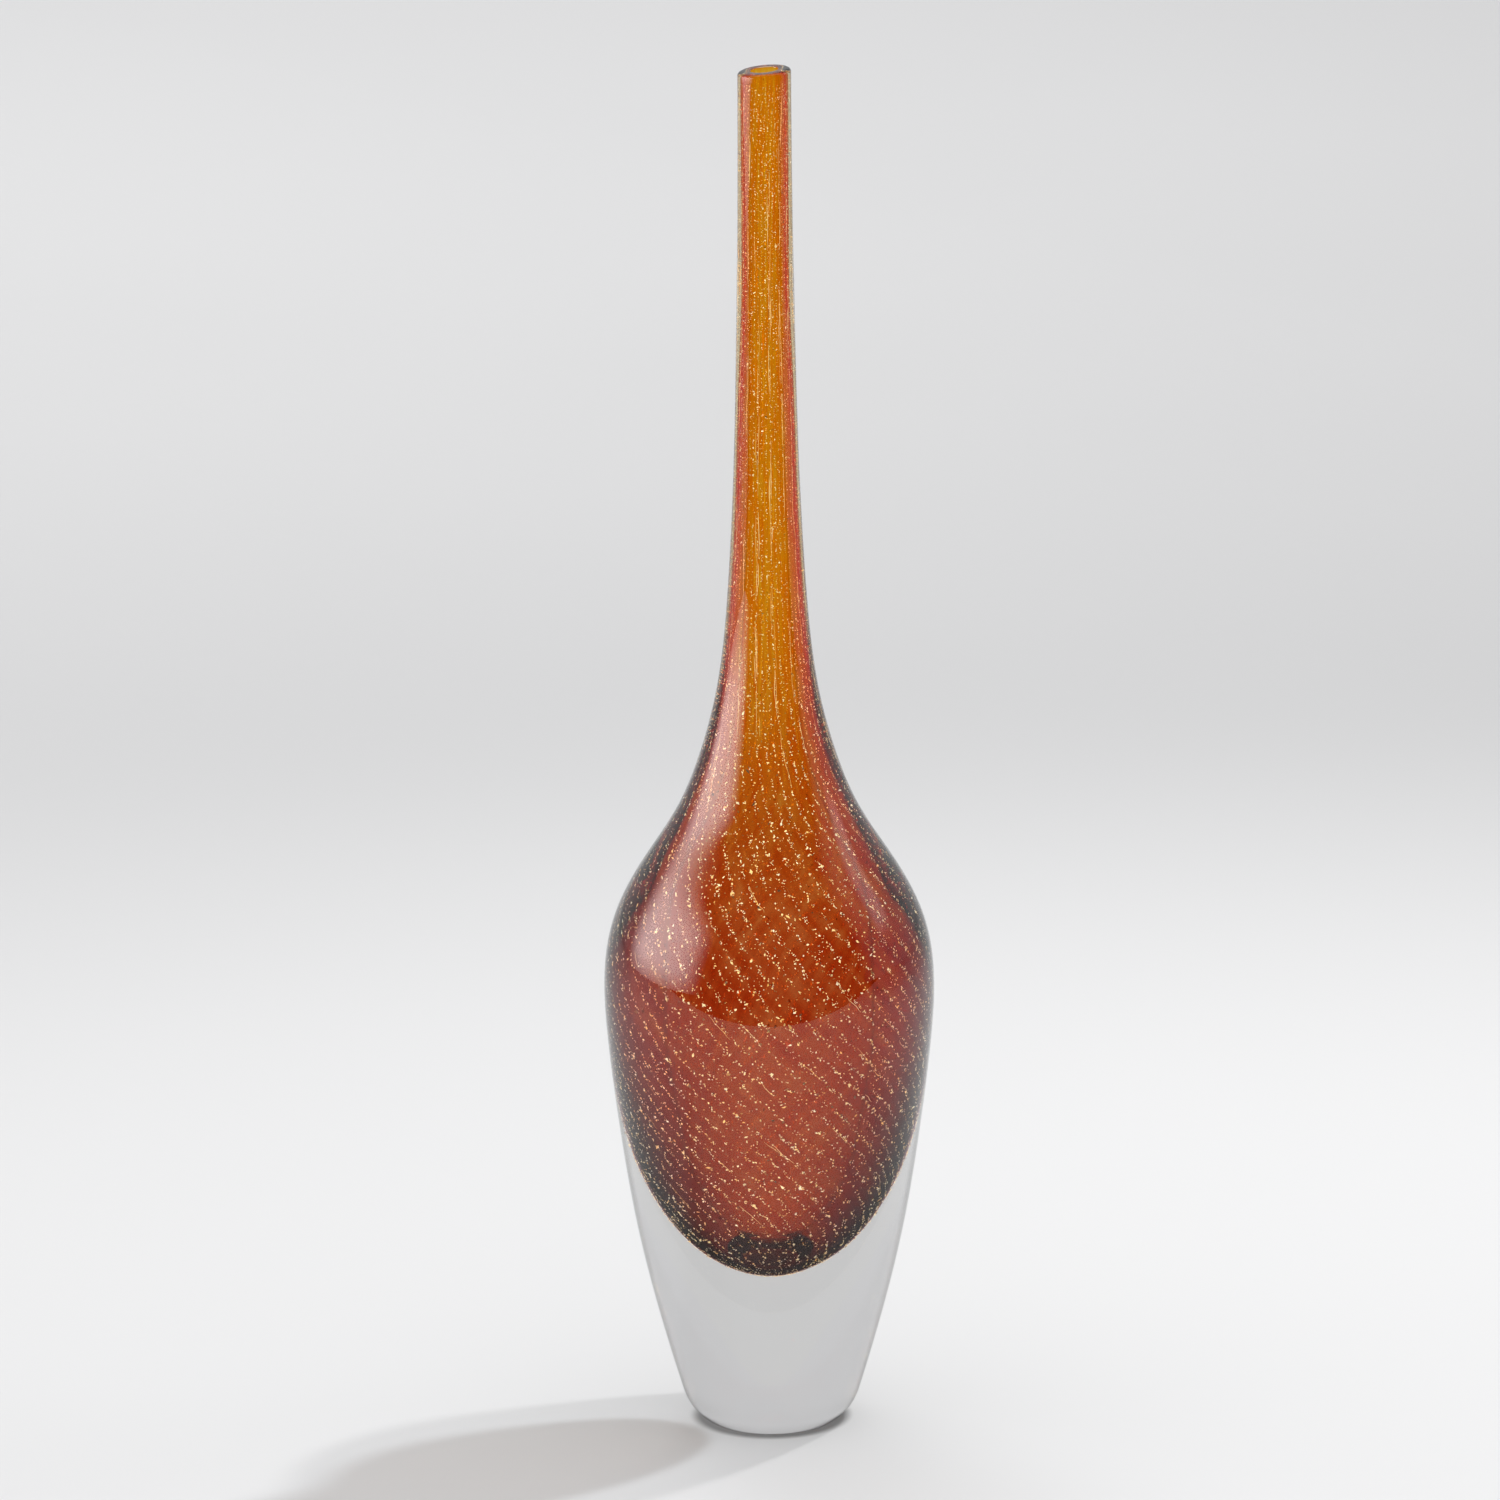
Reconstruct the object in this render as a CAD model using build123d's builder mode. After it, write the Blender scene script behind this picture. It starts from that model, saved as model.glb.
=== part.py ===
"""Glass bud vase: a clear outer gather cased over a thin bubble of gold fleck, ruby and amber glass.

Millimetres, +Z up, origin at the centre of the ground foot. Every layer is turned about Z and fused to
the next one, so each layer's inner outline is the same curve as the outer outline of the one inside it.
"""
import os
from math import radians, tan

from build123d import *

os.makedirs("parts", exist_ok=True)

# Driving sizes
height = 420.0
foot_radius = 20.0
belly_radius = 50.0
belly_height = 137.0
neck_radius = 8.0
bore_radius = 4.2
bore_length = 60.0
lip_slant = 5.0           # degrees the lip is out of level, high on the +X side
lip_round = 1.3           # fire-polished outer edge of the lip
mouth_round = 0.25        # fire-polished inner edge of the lip
rim_share = 0.7           # most of its own wall that either round may take

# Wall of each coloured layer, counted outward from the air cavity
amber_wall = 0.5
ruby_wall = 0.7
fleck_wall = 0.2

# The air cavity: a long straight bore that opens into an egg-shaped bubble
cavity_radius = 32.7
cavity_height = 136.0
cavity_floor = 53.0

# Outer outline of the clear gather from the ground foot up to the lip, as radius and height
outer_outline = [
    (foot_radius, 0.0),
    (24.3, 4.0),
    (27.8, 12.0),
    (33.0, 30.0),
    (40.3, 60.0),
    (45.9, 94.0),
    (belly_radius - 0.7, belly_height - 14.0),
    (belly_radius, belly_height),
    (47.5, 156.0),
    (39.0, 174.0),
    (27.7, 192.0),
    (20.4, 210.0),
    (15.7, 228.0),
    (11.8, 261.0),
    (9.8, 300.0),
    (8.8, 342.0),
    (8.2, 380.0),
    (neck_radius, height),
]

# Outline of the air cavity from its floor up to the foot of the straight bore
cavity_outline = [
    (0.0, cavity_floor),
    (12.3, 58.9),
    (19.1, 68.2),
    (24.8, 82.0),
    (28.6, 99.5),
    (31.3, 117.0),
    (cavity_radius, cavity_height),
    (32.5, 152.0),
    (29.4, 167.0),
    (21.0, 185.0),
    (14.0, 202.0),
    (9.9, 222.0),
    (7.3, 250.0),
    (5.8, 285.0),
    (4.9, 325.0),
    (bore_radius, height - bore_length),
]

# The bubble's outlines start level at their pole and end upright where the bore begins
pole_to_bore = {"tangents": ((1, 0), (0, 1)), "tangent_scalars": (1, 1)}

# Points taken along the cavity outline when a wall is grown from it
stations = 40

# How far each turned blank runs past the full height, for the slanted cut to take off
cut_allowance = 2.0


def bubble_points(wall):
    """Stations along the cavity outline, each moved outward by a wall, square to the outline."""
    cavity_line = Spline(*cavity_outline, **pole_to_bore, mode=Mode.PRIVATE)
    points = []
    for i in range(stations + 1):
        at, along = cavity_line @ (i / stations), cavity_line % (i / stations)
        points.append((at.X + wall * along.Y, at.Y - wall * along.X))
    return points


def turned_bubble(wall):
    """Blank of the cavity with its bore, grown outward by a wall and closed over the top."""
    top = height + cut_allowance
    with BuildPart() as blank:
        with BuildSketch(Plane.XZ):
            with BuildLine():
                edge = Spline(*bubble_points(wall), **pole_to_bore)
                Polyline(edge @ 1, (bore_radius + wall, top), (0, top), edge @ 0)
            make_face()
        revolve(axis=Axis.Z)
    return blank.part


lip_middle = height - neck_radius * tan(radians(lip_slant))
lip_plane = Plane.XY.offset(lip_middle).rotated((0, -lip_slant, 0))
cavity = turned_bubble(0)
amber_blank = turned_bubble(amber_wall)
ruby_blank = turned_bubble(amber_wall + ruby_wall)
fleck_blank = turned_bubble(amber_wall + ruby_wall + fleck_wall)

# Clear outer gather, solid below the bubble
with BuildPart() as clear_casing:
    with BuildSketch(Plane.XZ):
        with BuildLine():
            wall_line = Spline(*outer_outline)
            Polyline(wall_line @ 1, (neck_radius, height + cut_allowance), (0, height + cut_allowance),
                     (0, 0), wall_line @ 0)
        make_face()
    revolve(axis=Axis.Z)
    add(fleck_blank, mode=Mode.SUBTRACT)
    split(bisect_by=lip_plane, keep=Keep.BOTTOM)
    lip_edges = clear_casing.faces().sort_by(Axis.Z)[-1].edges()
    clear_rim = neck_radius - bore_radius - amber_wall - ruby_wall - fleck_wall
    fillet(lip_edges.sort_by(SortBy.LENGTH)[-1], radius=min(lip_round, rim_share * clear_rim))

# Layer under the clear gather that holds the twisted rows of gold flecks
with BuildPart() as fleck_layer:
    add(fleck_blank)
    add(ruby_blank, mode=Mode.SUBTRACT)
    split(bisect_by=lip_plane, keep=Keep.BOTTOM)

# Ruby layer
with BuildPart() as ruby_layer:
    add(ruby_blank)
    add(amber_blank, mode=Mode.SUBTRACT)
    split(bisect_by=lip_plane, keep=Keep.BOTTOM)

# Amber lining with the bore and the air cavity
with BuildPart() as amber_lining:
    add(amber_blank)
    add(cavity, mode=Mode.SUBTRACT)
    split(bisect_by=lip_plane, keep=Keep.BOTTOM)
    mouth_edges = amber_lining.faces().sort_by(Axis.Z)[-1].edges()
    fillet(mouth_edges.sort_by(SortBy.LENGTH)[0], radius=min(mouth_round, rim_share * amber_wall))

clear_casing.part.label = "clear_casing"
export_step(clear_casing.part, "parts/clear_casing.step")

ruby_layer.part.label = "ruby_layer"
export_step(ruby_layer.part, "parts/ruby_layer.step")

fleck_layer.part.label = "fleck_layer"
export_step(fleck_layer.part, "parts/fleck_layer.step")

amber_lining.part.label = "amber_lining"
export_step(amber_lining.part, "parts/amber_lining.step")
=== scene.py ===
"""Looks of the glass bud vase: one clear blown body, two tinted skins inside it and twisted rows of flecks.

Metres, +Z up, the same frame as the CAD. Lengths below are in millimetres and pass through MM.
"""

import math

import bpy
import numpy as np
from mathutils import Matrix, Vector


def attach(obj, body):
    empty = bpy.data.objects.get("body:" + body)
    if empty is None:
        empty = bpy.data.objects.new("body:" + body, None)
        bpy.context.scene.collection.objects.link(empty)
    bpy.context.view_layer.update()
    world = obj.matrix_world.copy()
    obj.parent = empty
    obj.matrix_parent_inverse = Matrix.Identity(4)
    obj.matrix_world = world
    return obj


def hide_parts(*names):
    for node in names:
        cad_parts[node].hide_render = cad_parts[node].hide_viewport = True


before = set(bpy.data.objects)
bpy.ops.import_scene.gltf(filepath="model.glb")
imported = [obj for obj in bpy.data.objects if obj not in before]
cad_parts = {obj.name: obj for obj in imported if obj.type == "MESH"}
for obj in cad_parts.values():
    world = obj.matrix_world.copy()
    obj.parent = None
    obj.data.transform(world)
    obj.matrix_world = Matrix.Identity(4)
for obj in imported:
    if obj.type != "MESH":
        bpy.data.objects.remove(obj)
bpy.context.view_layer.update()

MM = 0.001
HEIGHT = 420.0
NECK_RADIUS = 8.0
BORE_RADIUS = 4.2
LIP_SLANT = math.tan(math.radians(5.0))
LIP_ROUND = 1.3
MOUTH_ROUND = 0.25
FOOT_RADIUS = 20.0
FOOT_EDGE = 0.35

AMBER_WALL = 0.5
RUBY_WALL = 0.7
FLECK_WALL = 0.2
SKIN_GAP = 0.06

# Rows of flecks round the bubble, and how fast they turn on the way up: (height, degrees a millimetre)
ROWS = 36
TWIST_RATE = [(60, 2.1), (110, 1.75), (160, 1.2), (190, 0.85), (225, 0.25), (260, 0.0), (370, 0.0),
              (420, -0.8)]

# Outlines as (radius, height): the vase's outside from the foot up, and its air bubble from the floor up
OUTER = [(20.0, 0.0), (24.3, 4.0), (27.8, 12.0), (33.0, 30.0), (40.3, 60.0), (45.9, 94.0),
         (49.3, 123.0), (50.0, 137.0), (47.5, 156.0), (39.0, 174.0), (27.7, 192.0), (20.4, 210.0),
         (15.7, 228.0), (11.8, 261.0), (9.8, 300.0), (8.8, 342.0), (8.2, 380.0), (8.0, 420.0)]
CAVITY = [(0.0, 53.0), (12.3, 58.9), (19.1, 68.2), (24.8, 82.0), (28.6, 99.5), (31.3, 117.0),
          (32.7, 136.0), (32.5, 152.0), (29.4, 167.0), (21.0, 185.0), (14.0, 202.0), (9.9, 222.0),
          (7.3, 250.0), (5.8, 285.0), (4.9, 325.0), (4.2, 360.0)]

BORE_FOOT = CAVITY[-1][1]
LIP_REACH = 14            # how far below the rim the neck starts to lean for the slanted lip

# The way through a skin, in walls, grows towards its edge up to the root of this, then falls to nothing
EDGE_CHORD = 17.0

# Ramps as (start, end, value at the start, value at the end)
PAINTED_EDGE_SHADE = (0.7, 0.88, 1.0, 0.12)          # painted shade: the clear glass darkens into a dark edge line, by how far edge on it's seen
TINT_HEIGHT = (0.12, 0.26)                  # metres up, from the low tint to the high one
SHADE_COVER_HEIGHT = (0.065, 0.14)                # metres up, from the low cover to the high one; the cover darkens the skin's edges as painted shade
STREAK_DEPTH = (0.3, 0.7, 0.62, 1.4)        # how deep the tint is along a streak

rng = np.random.default_rng(7)


# ---------------------------------------------------------------- outlines

def smooth_curve(points, count, start=None, end=None):
    """Evenly spaced points and unit tangents on a C2 cubic through the points, as the CAD spline runs."""
    p = np.array(points, float)
    t = np.concatenate([[0], np.cumsum(np.hypot(*np.diff(p, axis=0).T))])
    h, n = np.diff(t), len(t)
    a, b = np.zeros((n, n)), np.zeros((n, 2))
    for i in range(1, n - 1):
        a[i, i - 1:i + 2] = h[i], 2 * (h[i - 1] + h[i]), h[i - 1]
        b[i] = 3 * (h[i] * (p[i] - p[i - 1]) / h[i - 1] + h[i - 1] * (p[i + 1] - p[i]) / h[i])
    a[0, :2], b[0] = (2, 1), 3 * (p[1] - p[0]) / h[0]
    a[-1, -2:], b[-1] = (1, 2), 3 * (p[-1] - p[-2]) / h[-1]
    if start is not None:
        a[0, :2], b[0] = (1, 0), start
    if end is not None:
        a[-1, -2:], b[-1] = (0, 1), end
    m = np.linalg.solve(a, b)

    def at(s):
        k = np.clip(np.searchsorted(t, s, side="right") - 1, 0, n - 2)
        w = h[k][:, None]
        u = ((s - t[k]) / h[k])[:, None]
        p0, p1, m0, m1 = p[k], p[k + 1], m[k] * w, m[k + 1] * w
        here = ((2 * u**3 - 3 * u**2 + 1) * p0 + (u**3 - 2 * u**2 + u) * m0
                + (-2 * u**3 + 3 * u**2) * p1 + (u**3 - u**2) * m1)
        slope = ((6 * u**2 - 6 * u) * (p0 - p1) + (3 * u**2 - 4 * u + 1) * m0 + (3 * u**2 - 2 * u) * m1) / w
        return here, slope / np.linalg.norm(slope, axis=1)[:, None]

    fine, _ = at(np.linspace(0, t[-1], count * 8))
    run = np.concatenate([[0], np.cumsum(np.hypot(*np.diff(fine, axis=0).T))])
    s = np.interp(np.linspace(0, run[-1], count), run, np.linspace(0, t[-1], count * 8))
    return at(s)


BUBBLE, BUBBLE_ALONG = smooth_curve(CAVITY, 260, start=(1, 0), end=(0, 1))
BUBBLE_OUT = np.column_stack([BUBBLE_ALONG[:, 1], -BUBBLE_ALONG[:, 0]])


def grown(wall):
    """Outline of the air bubble moved outward by a wall, from its pole to the foot of the bore."""
    line = BUBBLE + wall * BUBBLE_OUT
    line[0, 0] = 0
    return line


def arc(centre, radius, first, last, steps=8):
    """Points on an arc, angles in degrees from the outward direction towards up."""
    turn = np.radians(np.linspace(first, last, steps))
    return np.column_stack([centre[0] + radius * np.cos(turn), centre[1] + radius * np.sin(turn)])


twist_at = np.arange(0.0, HEIGHT + 1.0)
twist_rate = np.radians(np.interp(twist_at, *zip(*TWIST_RATE)))
twist_turn = np.concatenate([[0], np.cumsum((twist_rate[1:] + twist_rate[:-1]) / 2)])


def turned(z):
    """Angle, left-handed, that a row of flecks has turned through at a height."""
    return np.interp(z, twist_at, twist_turn)


# ---------------------------------------------------------------- meshes

def slant_lip(points):
    """Leans the top of the neck so that the lip is highest on the +X side."""
    z = points[:, 2] / MM
    share = np.clip((z - (HEIGHT - LIP_REACH)) / LIP_REACH, 0, 1) ** 2
    points[:, 2] += share * (points[:, 0] - NECK_RADIUS * MM) * LIP_SLANT
    return points


def piece(name, points, faces, material):
    """A smooth-shaded mesh object that rides on the vase."""
    mesh = bpy.data.meshes.new(name)
    mesh.from_pydata([tuple(p) for p in points], [], faces)
    mesh.update()
    for f in mesh.polygons:
        f.use_smooth = True
    mesh.materials.append(material)
    ob = bpy.data.objects.new(name, mesh)
    bpy.context.scene.collection.objects.link(ob)
    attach(ob, "root")
    return ob


def lathe(name, outline, material, segments=256, closed=False):
    """Turns an outline about Z. Points on the axis become poles; a closed outline makes a ring."""
    outline = [(max(r, 0.0) * MM, z * MM) for r, z in outline]
    turn = np.linspace(0, 2 * math.pi, segments, endpoint=False)
    points, rings = [], []
    for r, z in outline:
        if r < 1e-9:
            rings.append([len(points)] * segments)
            points.append((0, 0, z))
        else:
            rings.append(list(range(len(points), len(points) + segments)))
            points += [(r * math.cos(a), r * math.sin(a), z) for a in turn]
    faces = []
    pairs = list(zip(rings, rings[1:])) + ([(rings[-1], rings[0])] if closed else [])
    for low, high in pairs:
        for i in range(segments):
            j = (i + 1) % segments
            loop = [low[i], low[j], high[j], high[i]]
            faces.append([v for k, v in enumerate(loop) if v not in loop[:k]])
    return piece(name, slant_lip(np.array(points)), faces, material)


def follow_rows(ob):
    """Stores on each vertex its place in a cloth of strands that runs along the twisted rows."""
    at = np.array([v.co for v in ob.data.vertices]) / MM
    angle = np.arctan2(at[:, 1], at[:, 0]) + turned(at[:, 2])
    strand = np.column_stack([np.cos(angle), np.sin(angle), at[:, 2] / 110.0])
    layer = ob.data.attributes.new("strand", "FLOAT_VECTOR", "POINT")
    layer.data.foreach_set("vector", strand.astype(np.float32).ravel())


# ---------------------------------------------------------------- materials

def material(name):
    mat = bpy.data.materials.new(name)
    mat.use_nodes = True
    mat.node_tree.nodes.clear()
    return mat, mat.node_tree


def add(tree, kind, inputs=None, **settings):
    node = tree.nodes.new(kind)
    for key, value in settings.items():
        setattr(node, key, value)
    for key, value in (inputs or {}).items():
        if isinstance(value, bpy.types.NodeSocket):
            tree.links.new(value, node.inputs[key])
        else:
            node.inputs[key].default_value = value
    return node


def ramp(tree, value, start, end, low=0.0, high=1.0, kind="SMOOTHSTEP"):
    """A value that runs from low to high while another runs from start to end, and stays put beyond."""
    return add(tree, "ShaderNodeMapRange", {
        "Value": value, "From Min": start, "From Max": end, "To Min": low, "To Max": high},
        interpolation_type=kind).outputs[0]


def clear_glass():
    """Clear crystal with a painted dark line where it's seen edge on. Lamps reach the flecks inside it through
    a grey see-through stand-in.
    """
    mat, tree = material("clear_crystal")
    facing = add(tree, "ShaderNodeLayerWeight", {"Blend": 0.5})
    # Painted shade: the glass's colour goes dark where it's seen edge on, drawing a dark edge line
    edge = ramp(tree, facing.outputs["Facing"], *PAINTED_EDGE_SHADE)
    body = add(tree, "ShaderNodeCombineColor", {k: edge for k in range(3)})
    glass = add(tree, "ShaderNodeBsdfPrincipled", {
        "Base Color": body.outputs[0], "Roughness": 0.0, "IOR": 1.5, "Transmission Weight": 1.0})
    open_side = add(tree, "ShaderNodeBsdfTransparent", {"Color": (0.81, 0.81, 0.81, 1)})
    path = add(tree, "ShaderNodeLightPath")
    mix = add(tree, "ShaderNodeMixShader", {
        0: path.outputs["Is Shadow Ray"], 1: glass.outputs[0], 2: open_side.outputs[0]})
    add(tree, "ShaderNodeOutputMaterial", {"Surface": mix.outputs[0]})
    return mat


def tinted_skin(name, high, low, shade, shade_cover_low=0.0, shade_cover_high=0.0):
    """A tinted layer fused inside clear glass: it bends nothing, and is darkest a little inside its edge.

    Cover is how thickly flecks stand before it: seen edge on, they hide more of what is behind them, and the
    near black left there is painted shade standing for the flecks' shaded backs.
    """
    mat, tree = material(name)
    place = add(tree, "ShaderNodeTexCoord")
    split = add(tree, "ShaderNodeSeparateXYZ", {0: place.outputs["Object"]})
    height = ramp(tree, split.outputs["Z"], *TINT_HEIGHT)
    strand = add(tree, "ShaderNodeAttribute", attribute_name="strand")
    streaks = add(tree, "ShaderNodeTexNoise", {
        "Vector": strand.outputs["Vector"], "Scale": 7.0, "Detail": 3.0, "Roughness": 0.6})
    depth = ramp(tree, streaks.outputs["Fac"], *STREAK_DEPTH, kind="LINEAR")
    tint = add(tree, "ShaderNodeMix", {0: height, 6: (*low, 1), 7: (*high, 1)}, data_type="RGBA")
    facing = add(tree, "ShaderNodeLayerWeight", {"Blend": 0.5})
    cosine = add(tree, "ShaderNodeMath", {0: 1.0, 1: facing.outputs["Facing"]}, operation="SUBTRACT")
    slanted = add(tree, "ShaderNodeMath", {0: 1.0, 1: cosine.outputs[0]}, operation="DIVIDE")
    grazing = add(tree, "ShaderNodeMath", {0: cosine.outputs[0], 1: EDGE_CHORD}, operation="MULTIPLY")
    chord = add(tree, "ShaderNodeMath", {0: slanted.outputs[0], 1: grazing.outputs[0]}, operation="MINIMUM")
    path_length = add(tree, "ShaderNodeMath", {0: depth, 1: chord.outputs[0]}, operation="MULTIPLY")
    passed = add(tree, "ShaderNodeGamma", {"Color": tint.outputs[2], "Gamma": path_length.outputs[0]})
    # Painted shade: seen edge on, the view through the skin is darkened by the cover, most on the lower bubble
    cover_shade = ramp(tree, split.outputs["Z"], *SHADE_COVER_HEIGHT, shade_cover_low, shade_cover_high)
    extra = add(tree, "ShaderNodeMath", {0: chord.outputs[0], 1: 1.0}, operation="SUBTRACT")
    beyond = add(tree, "ShaderNodeMath", {0: extra.outputs[0], 1: 0.0}, operation="MAXIMUM")
    painted_back_shade = add(tree, "ShaderNodeMath", {0: beyond.outputs[0], 1: cover_shade}, operation="MULTIPLY")
    between = add(tree, "ShaderNodeMath", {0: math.exp(-1), 1: painted_back_shade.outputs[0]}, operation="POWER")
    tint_and_painted_shade = add(tree, "ShaderNodeVectorMath", {0: passed.outputs[0], "Scale": between.outputs[0]},
                 operation="SCALE")
    seen = add(tree, "ShaderNodeBsdfTransparent", {"Color": tint_and_painted_shade.outputs[0]})
    for_lamps = add(tree, "ShaderNodeBsdfTransparent", {"Color": (*shade, 1)})
    path = add(tree, "ShaderNodeLightPath")
    mix = add(tree, "ShaderNodeMixShader", {
        0: path.outputs["Is Shadow Ray"], 1: seen.outputs[0], 2: for_lamps.outputs[0]})
    add(tree, "ShaderNodeOutputMaterial", {"Surface": mix.outputs[0]})
    return mat


def fleck_metal():
    """Gold and mica flecks: each one a slightly different cream, gold or bronze."""
    mat, tree = material("gold_flecks")
    kind = add(tree, "ShaderNodeAttribute", attribute_name="fleck_kind")
    shades = add(tree, "ShaderNodeValToRGB", {0: kind.outputs["Fac"]})
    stops = [(0.0, (0.05, 0.025, 0.015)), (0.12, (0.3, 0.13, 0.04)), (0.3, (0.85, 0.47, 0.13)),
             (0.65, (1, 0.8, 0.42)), (1.0, (1, 0.96, 0.8))]
    while len(shades.color_ramp.elements) < len(stops):
        shades.color_ramp.elements.new(0.5)
    for element, (at, colour) in zip(shades.color_ramp.elements, stops):
        element.position, element.color = at, (*colour, 1)
    grain = add(tree, "ShaderNodeTexNoise", {"Scale": 4000.0, "Detail": 2.0})
    rough = ramp(tree, grain.outputs["Fac"], 0.3, 0.7, 0.25, 0.5, kind="LINEAR")
    metal = add(tree, "ShaderNodeBsdfPrincipled", {
        "Base Color": shades.outputs[0], "Metallic": 0.15, "Roughness": rough})
    add(tree, "ShaderNodeOutputMaterial", {"Surface": metal.outputs[0]})
    return mat


# ---------------------------------------------------------------- glass

outer_line, _ = smooth_curve(OUTER, 300)
lip_high = HEIGHT - LIP_ROUND
outer_part = [(r, z) for r, z in outer_line if 2 * FOOT_EDGE < z < lip_high - 0.5]
lip_radius = NECK_RADIUS - LIP_ROUND
body_line = [(0.0, 0.0), (FOOT_RADIUS * 0.5, 0.0), (FOOT_RADIUS - 0.6, 0.0), (FOOT_RADIUS - 0.15, 0.06),
             (FOOT_RADIUS + 0.25, 0.35)]
body_line += outer_part
body_line += list(arc((lip_radius, lip_high), LIP_ROUND, 0, 90, 10))
body_line += list(arc((BORE_RADIUS + MOUTH_ROUND, HEIGHT - MOUTH_ROUND), MOUTH_ROUND, 90, 180, 6))
body_line += [(BORE_RADIUS, z) for z in np.linspace(HEIGHT - 2, BORE_FOOT + 1.5, 40)]
body_line += list(grown(0)[::-1])
body_line[-1] = (0.0, CAVITY[0][1])
glass_body = lathe("glass_body", body_line, clear_glass())
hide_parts("clear_casing")


def skin(name, inner, outer, mat):
    """Closed thin shell between two walls of the bubble, ending just under the lip."""
    foot, top = BORE_FOOT + 3, HEIGHT - 0.3
    inside, outside = grown(inner), grown(outer)
    line = list(inside) + [(BORE_RADIUS + inner, z) for z in np.linspace(foot, top, 24)]
    line += [(BORE_RADIUS + outer, z) for z in np.linspace(top, foot, 24)] + list(outside[::-1])
    shell = lathe(name, line, mat, segments=192)
    follow_rows(shell)
    return shell


amber = skin("amber_skin", SKIN_GAP, AMBER_WALL - SKIN_GAP,
             tinted_skin("amber_tint", (1.0, 0.80, 0.28), (0.95, 0.67, 0.43), (0.92, 0.88, 0.84)))
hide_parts("amber_lining")
# The ruby skin carries the cover: painted shade on the lower bubble's edges
ruby = skin("ruby_skin", AMBER_WALL + SKIN_GAP, AMBER_WALL + RUBY_WALL - SKIN_GAP,
            tinted_skin("ruby_tint", (0.99, 0.95, 0.87), (0.925, 0.80, 0.82), (0.94, 0.92, 0.9),
                        shade_cover_low=0.42, shade_cover_high=0.04))
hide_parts("ruby_layer")

# ---------------------------------------------------------------- flecks

fleck_line = grown(AMBER_WALL + RUBY_WALL + FLECK_WALL / 2)
bore_top = np.column_stack([np.full(60, BORE_RADIUS + AMBER_WALL + RUBY_WALL + FLECK_WALL / 2),
                            np.linspace(BORE_FOOT + 1, HEIGHT - 4, 60)])
fleck_line = np.vstack([fleck_line, bore_top])
fleck_run = np.concatenate([[0], np.cumsum(np.hypot(*np.diff(fleck_line, axis=0).T))])


def on_skin(run):
    """Radius, height and the meridian's slope at a distance along the fleck layer's outline."""
    (r, z), (r_on, z_on), (r_back, z_back) = (
        [np.interp(run + step, fleck_run, fleck_line[:, k]) for k in (0, 1)] for step in (0.0, 0.5, -0.5))
    dr, dz = r_on - r_back, z_on - z_back
    size = np.hypot(dr, dz) + 1e-9
    return r, z, dr / size, dz / size


def row_angle(z, row):
    return 2 * math.pi * row / ROWS - turned(z)


def row_slope(r, z, dz):
    """How far a row leans off the meridian where it passes a height."""
    return np.arctan2(-np.interp(z, twist_at, twist_rate) * r * dz, 1.0)


def on_layer(run, row):
    """Places in the fleck layer, each with its row's direction, the direction across it, and outward."""
    r, z, dr, dz = on_skin(run)
    angle = row_angle(z, row)
    around = np.column_stack([-np.sin(angle), np.cos(angle), np.zeros(len(run))])
    up = np.column_stack([dr * np.cos(angle), dr * np.sin(angle), dz])
    out = np.cross(around, up)
    lean = row_slope(r, z, dz)
    along = up * np.cos(lean)[:, None] + around * np.sin(lean)[:, None]
    centre = np.column_stack([r * np.cos(angle), r * np.sin(angle), z])
    return centre, along, np.cross(out, along), out, r


def spread_runs(count, power):
    """Distances along the layer, as many for each patch of glass whatever its radius, fewer up the neck."""
    runs = []
    while sum(map(len, runs)) < count:
        run = rng.uniform(1.0, fleck_run[-1], count)
        share = np.clip(on_skin(run)[0] / 33.0, 0.55, 1) ** power
        runs.append(run[rng.random(count) < share])
    return np.concatenate(runs)[:count]


def build_flakes(count):
    """Thin four-sided plates, most of them strung along the rows and the rest scattered between."""
    run = spread_runs(count, 0.85)
    strung = rng.random(count) < STRUNG
    row = rng.integers(0, ROWS, count) + np.where(strung, rng.normal(0, ROW_SPREAD, count),
                                                  rng.uniform(-0.5, 0.5, count))
    centre, along, across, out, r = on_layer(run, row)
    centre = centre + out * rng.uniform(-0.06, 0.06, count)[:, None]
    spin = rng.normal(0, 0.9, count)
    tilt = rng.normal(0, 0.3, (count, 2))
    a = along * np.cos(spin)[:, None] + across * np.sin(spin)[:, None] + out * tilt[:, :1]
    a /= np.linalg.norm(a, axis=1)[:, None]
    b = np.cross(out + across * tilt[:, 1:], a)
    b /= np.linalg.norm(b, axis=1)[:, None]
    n = np.cross(a, b)
    size = rng.lognormal(math.log(0.175), 0.42, count).clip(0.08, 0.6)
    size *= np.clip(r / 14.0, 0.5, 1)
    length = size * rng.uniform(0.9, 1.8, count)
    width = size * rng.uniform(0.6, 1.0, count)
    sides = 4
    points = np.empty((count, 2 * sides, 3))
    for k in range(sides):
        turn = 2 * math.pi * k / sides + rng.normal(0, 0.25, count)
        reach = rng.uniform(0.7, 1.1, count)
        rim = (centre + a * (length * reach * np.cos(turn))[:, None]
               + b * (width * reach * np.sin(turn))[:, None])
        points[:, k] = rim + n * PLATE / 2
        points[:, sides + k] = rim - n * PLATE / 2
    faces = []
    for i in range(count):
        o = i * 2 * sides
        faces.append([o + k for k in range(sides)])
        faces.append([o + 2 * sides - 1 - k for k in range(sides)])
        faces += [[o + (k + 1) % sides, o + k, o + sides + k, o + sides + (k + 1) % sides]
                  for k in range(sides)]
    kinds = np.where(rng.random(count) < DARK_SHARE, rng.uniform(0, 0.1, count), rng.beta(2.6, 1.4, count))
    return points.reshape(-1, 3) * MM, faces, np.repeat(kinds, 2 * sides)


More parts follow.
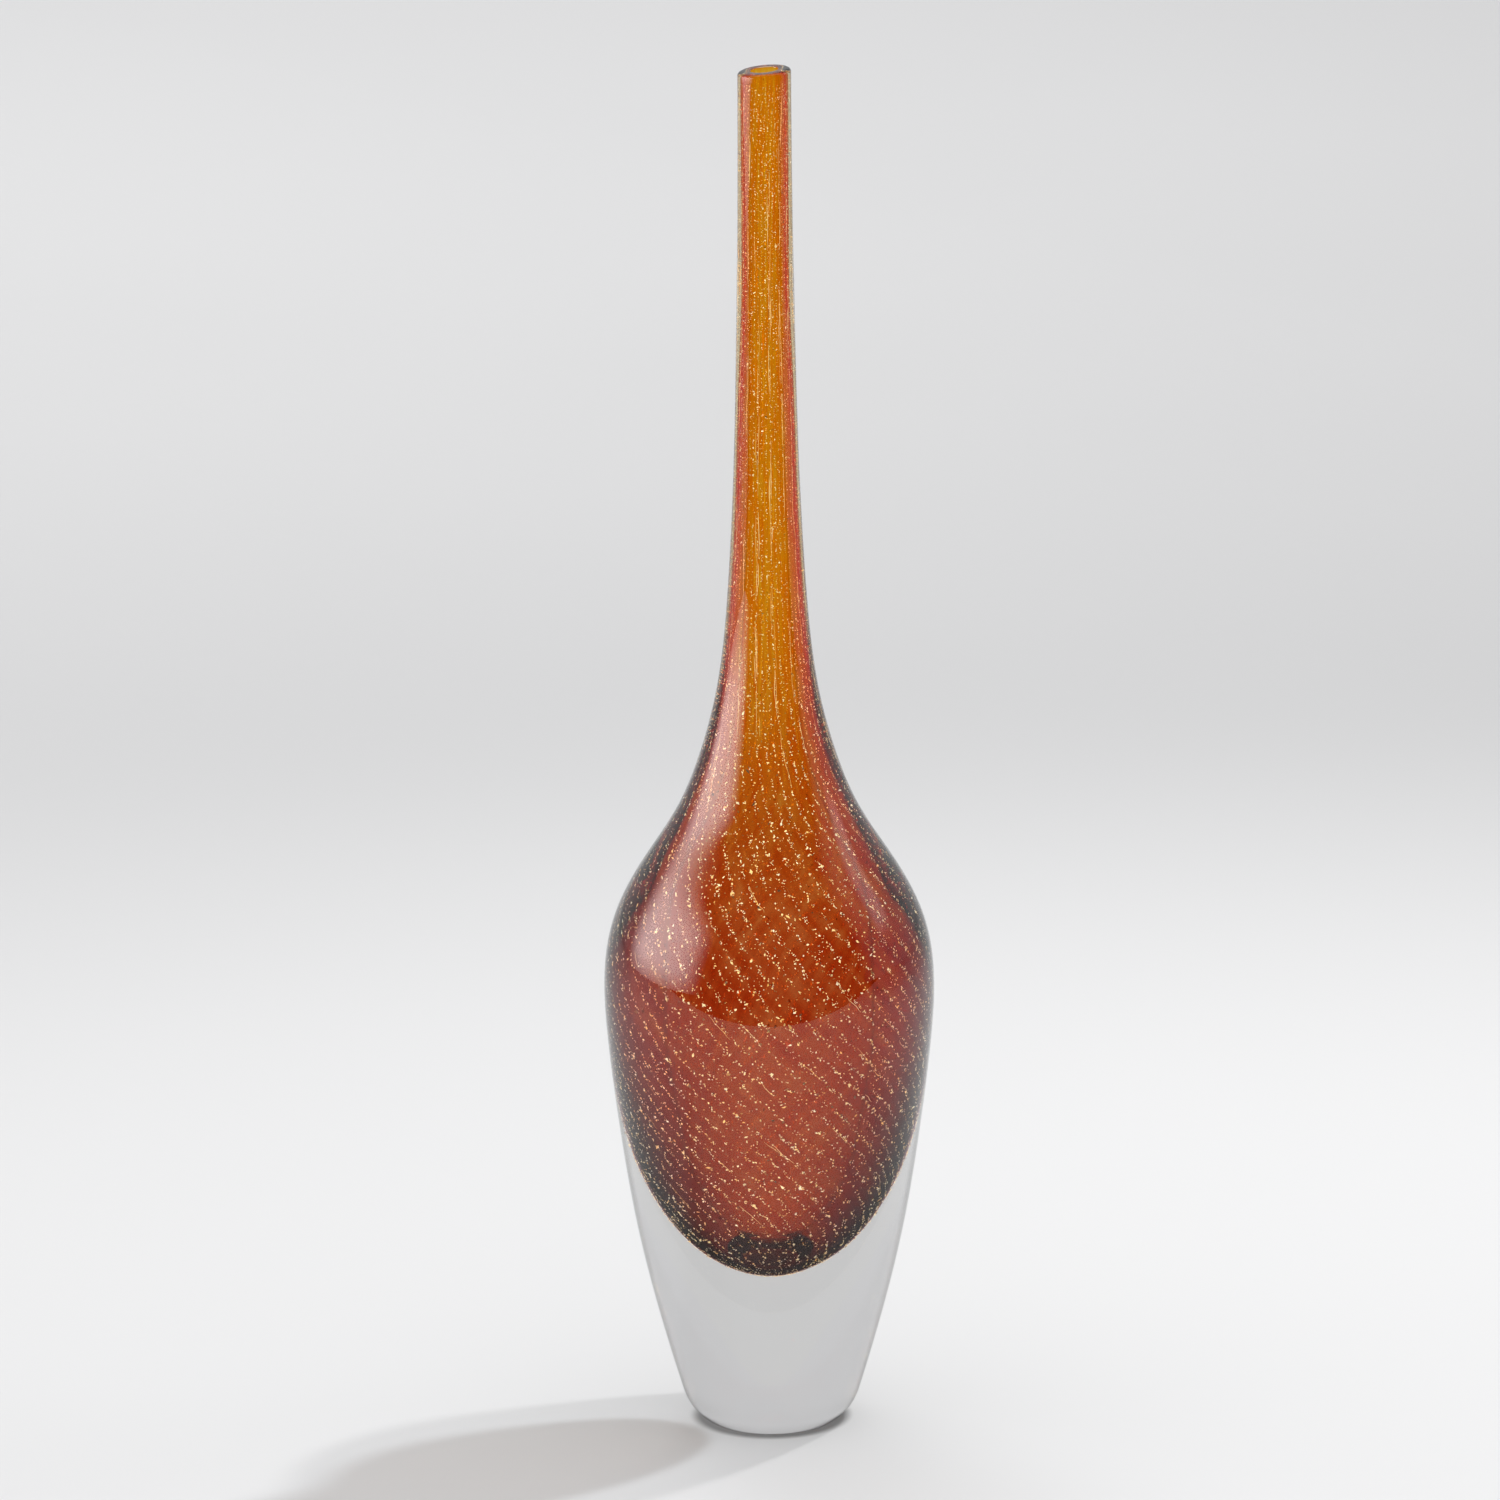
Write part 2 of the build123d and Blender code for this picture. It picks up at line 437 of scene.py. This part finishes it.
def build_threads(neck_count, belly_count):
    """Hair-thin filaments drawn out along the rows: long ones up the neck, short stray ones on the belly."""
    points, faces, kinds = [], [], []
    shoulder = np.interp(190.0, fleck_line[:, 1], fleck_run)
    for i in range(neck_count + belly_count):
        in_neck = i < neck_count
        length = rng.uniform(4, 18) if in_neck else rng.uniform(2, 8)
        first = rng.uniform(shoulder, fleck_run[-1] - length) if in_neck else rng.uniform(3, shoulder)
        steps = max(6, int(length / (2.0 if in_neck else 0.6)))
        run = first + np.linspace(0, length, steps)
        row = 3 * rng.integers(0, ROWS // 3) if in_neck else rng.integers(0, ROWS)
        wander = np.cumsum(rng.normal(0, 0.06 if in_neck else 0.03, steps))
        centre, along, across, out, r = on_layer(run, row + rng.normal(0, 0.2) + wander)
        taper = np.sin(np.linspace(0.15, math.pi - 0.15, steps)) ** 0.5
        half = (rng.uniform(0.025, 0.055) if in_neck else rng.uniform(0.03, 0.06)) * taper[:, None]
        ring = np.stack([centre + across * half, centre + out * half * 0.6,
                         centre - across * half, centre - out * half * 0.6], axis=1)
        o = sum(map(len, points))
        points.append(ring.reshape(-1, 3))
        faces.append([o + 3, o + 2, o + 1, o])
        faces.append([o + 4 * (steps - 1) + k for k in range(4)])
        for j in range(steps - 1):
            low, high = o + 4 * j, o + 4 * (j + 1)
            faces += [[low + k, low + (k + 1) % 4, high + (k + 1) % 4, high + k] for k in range(4)]
        kind = rng.uniform(0.0, 0.12) if rng.random() < DARK_THREADS else rng.uniform(0.25, 0.7)
        kinds.append(np.full(4 * steps, kind))
    return np.vstack(points) * MM, faces, np.concatenate(kinds)


def gold_piece(name, points, faces, kinds):
    ob = piece(name, slant_lip(points), faces, metal)
    for f in ob.data.polygons:
        f.use_smooth = False
    layer = ob.data.attributes.new("fleck_kind", "FLOAT", "POINT")
    layer.data.foreach_set("value", kinds.astype(np.float32))
    return ob


FLAKES = 36000
STRUNG = 0.72             # share of the flakes that lie in a row
ROW_SPREAD = 0.09         # how far they stray from it, as a share of the row spacing
DARK_SHARE = 0.16         # share of the flakes that are nearly black
DARK_THREADS = 0.12
PLATE = 0.05              # thickness of a flake
NECK_THREADS, BELLY_THREADS = 260, 60
metal = fleck_metal()
flecks = gold_piece("gold_flecks", *build_flakes(FLAKES))
threads = gold_piece("gold_threads", *build_threads(NECK_THREADS, BELLY_THREADS))
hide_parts("fleck_layer")

# ---------------------------------------------------------------- table, backdrop and light

# Painted reflection: in mirror images the table nearer the viewer than this shows near black
MIRROR_DARK_EDGE = -0.58
TABLE_TONE = (0.70, 0.74)
PAINTED_CONTACT_SHADOW = (0.0215, 0.0255, 0.3, 1.0)   # painted contact shadow: the table's dark ring under the heel, by distance from the axis
WORLD = 0.575             # the studio's even grey, which the table also gives off as its own painted glow where it's seen through glass
FAR_WALL = 0.74           # the backdrop as the camera sees it, near the tone of the far table


def times(tree, a, b):
    return add(tree, "ShaderNodeMath", {0: a, 1: b}, operation="MULTIPLY").outputs[0]


def mirrored(tree, mask):
    """The mask where a mirror image is being looked up, and nothing elsewhere."""
    path = add(tree, "ShaderNodeLightPath")
    return times(tree, times(tree, path.outputs["Is Reflection Ray"], path.outputs["Is Glossy Ray"]), mask)


def table():
    """White table top, with a painted shadow ring under the heel, a painted dark reflection of its part nearest
    the viewer, and a painted grey glow where it's seen through glass.
    """
    half = 5.0
    mesh = bpy.data.meshes.new("table_top")
    corners = [(-half, -half, 0), (half, -half, 0), (half, half, 0), (-half, half, 0)]
    mesh.from_pydata(corners, [], [(0, 1, 2, 3)])
    mat, tree = material("white_table")
    place = add(tree, "ShaderNodeTexCoord")
    cloud = add(tree, "ShaderNodeTexNoise", {"Vector": place.outputs["Object"], "Scale": 1.5})
    tone = ramp(tree, cloud.outputs["Fac"], 0.0, 1.0, *TABLE_TONE, kind="LINEAR")
    colour = add(tree, "ShaderNodeCombineColor", {k: tone for k in range(3)})
    # Painted contact shadow: a dark ring on the table round the heel
    reach = add(tree, "ShaderNodeVectorMath", {0: place.outputs["Object"]}, operation="LENGTH")
    contact_shadow_painted = ramp(tree, reach.outputs["Value"], *PAINTED_CONTACT_SHADOW)
    shaded = add(tree, "ShaderNodeVectorMath", {0: colour.outputs[0], "Scale": contact_shadow_painted}, operation="SCALE")
    paint = add(tree, "ShaderNodeBsdfPrincipled", {"Base Color": shaded.outputs[0], "Roughness": 0.7})
    # Painted reflection: mirror images show the table's near part near black instead of lit
    split = add(tree, "ShaderNodeSeparateXYZ", {0: place.outputs["Object"]})
    front = add(tree, "ShaderNodeMath", {0: split.outputs["Y"], 1: MIRROR_DARK_EDGE}, operation="LESS_THAN")
    painted_dark_reflection = add(tree, "ShaderNodeBsdfDiffuse", {"Color": (0.02, 0.02, 0.02, 1)})
    mix = add(tree, "ShaderNodeMixShader", {
        0: mirrored(tree, front.outputs[0]), 1: paint.outputs[0], 2: painted_dark_reflection.outputs[0]})
    # Painted light: seen through glass, the table glows an even grey of its own instead of being lit
    path = add(tree, "ShaderNodeLightPath")
    glow_painted = add(tree, "ShaderNodeEmission", {"Strength": times(tree, contact_shadow_painted, WORLD)})
    shown = add(tree, "ShaderNodeMixShader", {
        0: path.outputs["Is Transmission Ray"], 1: mix.outputs[0], 2: glow_painted.outputs[0]})
    add(tree, "ShaderNodeOutputMaterial", {"Surface": shown.outputs[0]})
    mat.cycles.emission_sampling = "NONE"
    mesh.materials.append(mat)
    ob = bpy.data.objects.new("table_top", mesh)
    bpy.context.scene.collection.objects.link(ob)


def soft_edges(data, width):
    """Lets a lamp's face fade out towards its rim, over a share of its width."""
    data.use_nodes = True
    tree = data.node_tree
    tree.nodes.clear()
    face = add(tree, "ShaderNodeNewGeometry")
    split = add(tree, "ShaderNodeSeparateXYZ", {0: face.outputs["Parametric"]})
    product = 1.0
    for axis in ("X", "Y"):
        for near, far in ((0.0, width), (1.0, 1.0 - width)):
            product = times(tree, ramp(tree, split.outputs[axis], near, far), product)
    glow = add(tree, "ShaderNodeEmission", {"Strength": product})
    add(tree, "ShaderNodeOutputLight", {"Surface": glow.outputs[0]})


def aim_at(ob, place, target):
    place, target = Vector(place), Vector(target)
    facing = (target - place).to_track_quat("-Z", "Y").to_matrix().to_4x4()
    ob.matrix_world = Matrix.Translation(place) @ facing


def lamp(name, place, target, size, watts, colour=(1, 1, 1), soft=None):
    data = bpy.data.lights.new(name, "AREA")
    data.shape = "RECTANGLE"
    data.size, data.size_y = size
    data.energy = watts
    data.color = colour
    if soft:
        soft_edges(data, soft)
    ob = bpy.data.objects.new(name, data)
    bpy.context.scene.collection.objects.link(ob)
    aim_at(ob, place, target)
    return ob


def spot(name, place, target, radius, cone, watts):
    data = bpy.data.lights.new(name, "SPOT")
    data.shadow_soft_size = radius
    data.spot_size = math.radians(cone)
    data.spot_blend = 1.0
    data.energy = watts
    ob = bpy.data.objects.new(name, data)
    bpy.context.scene.collection.objects.link(ob)
    aim_at(ob, place, target)
    return ob


def polar(azimuth, elevation, distance):
    """A place round the vase: azimuth 0 is in front of it and grows to the viewer's right."""
    a, e = math.radians(azimuth), math.radians(elevation)
    return (distance * math.cos(e) * math.sin(a), -distance * math.cos(e) * math.cos(a), distance * math.sin(e))


table()
middle = (0, 0, 0.15)
spot("key", polar(122, 56, 4.0), (0.05, -0.3, 0), 0.11, 34, 370)
back_fill = lamp("back_fill", (-0.5, 1.8, 1.8), (-0.1, 1.5, 0), (1.6, 1.2), 21)
back_fill.visible_glossy = False
back_fill.visible_transmission = False
left_box = lamp("left_box", polar(-84, 20, 1.8), middle, (2.7, 1.7), 82, soft=0.35)
left_box.visible_transmission = False
left_box.visible_diffuse = False
gold_only = bpy.data.collections.new("gold_only")
for ob in (flecks, threads):
    gold_only.objects.link(ob)
for name, azimuth, watts in (("fleck_light_left", -38, 24), ("fleck_light_right", 40, 17)):
    ob = lamp(name, polar(azimuth, 30, 1.5), middle, (0.5, 0.5), watts, (1, 0.93, 0.8))
    ob.data.use_shadow = False
    ob.visible_glossy = ob.visible_transmission = False
    ob.light_linking.receiver_collection = gold_only
lamp("right_box", polar(100, 30, 2.2), middle, (0.8, 1.2), 4, soft=0.35)
world = bpy.data.worlds.new("studio")
bpy.context.scene.world = world
world.use_nodes = True
tree = world.node_tree
tree.nodes.clear()
place = add(tree, "ShaderNodeTexCoord")
split = add(tree, "ShaderNodeSeparateXYZ", {0: place.outputs["Generated"]})
dark_side = ramp(tree, split.outputs["Y"], -0.1, -0.4, 0.0, 0.97)
strength = add(tree, "ShaderNodeMath", {0: 1.0, 1: mirrored(tree, dark_side)}, operation="SUBTRACT")
path = add(tree, "ShaderNodeLightPath")
seen = ramp(tree, path.outputs["Is Camera Ray"], 0.0, 1.0, times(tree, strength.outputs[0], WORLD), FAR_WALL,
            kind="LINEAR")
sky = add(tree, "ShaderNodeBackground", {"Color": (0.985, 0.985, 1.0, 1), "Strength": seen})
add(tree, "ShaderNodeOutputWorld", {"Surface": sky.outputs[0]})

# ---------------------------------------------------------------- camera

CAMERA_DISTANCE = 3.6
CAMERA_LENS = 286.8
ELEVATION = math.radians(15.0)
ROLL = math.radians(-0.34)
aim = Vector((-0.0054, 0, 0.2103))
camera_data = bpy.data.cameras.new("camera")
camera_data.sensor_width = 36
camera_data.lens = CAMERA_LENS
camera_data.clip_end = 30
camera = bpy.data.objects.new("camera", camera_data)
bpy.context.scene.collection.objects.link(camera)
tilt = Matrix.Rotation(math.pi / 2 - ELEVATION, 4, "X")
place = aim + Vector((0, -CAMERA_DISTANCE * math.cos(ELEVATION), CAMERA_DISTANCE * math.sin(ELEVATION)))
camera.matrix_world = Matrix.Translation(place) @ tilt @ Matrix.Rotation(ROLL, 4, "Z")
bpy.context.scene.camera = camera

scene = bpy.context.scene
scene.view_settings.view_transform = "Standard"
scene.cycles.max_bounces = 24
scene.cycles.transmission_bounces = 24
scene.cycles.glossy_bounces = 8
scene.cycles.diffuse_bounces = 4
scene.cycles.transparent_max_bounces = 48
scene.cycles.caustics_refractive = False
scene.cycles.caustics_reflective = False
scene.cycles.sample_clamp_indirect = 4.0
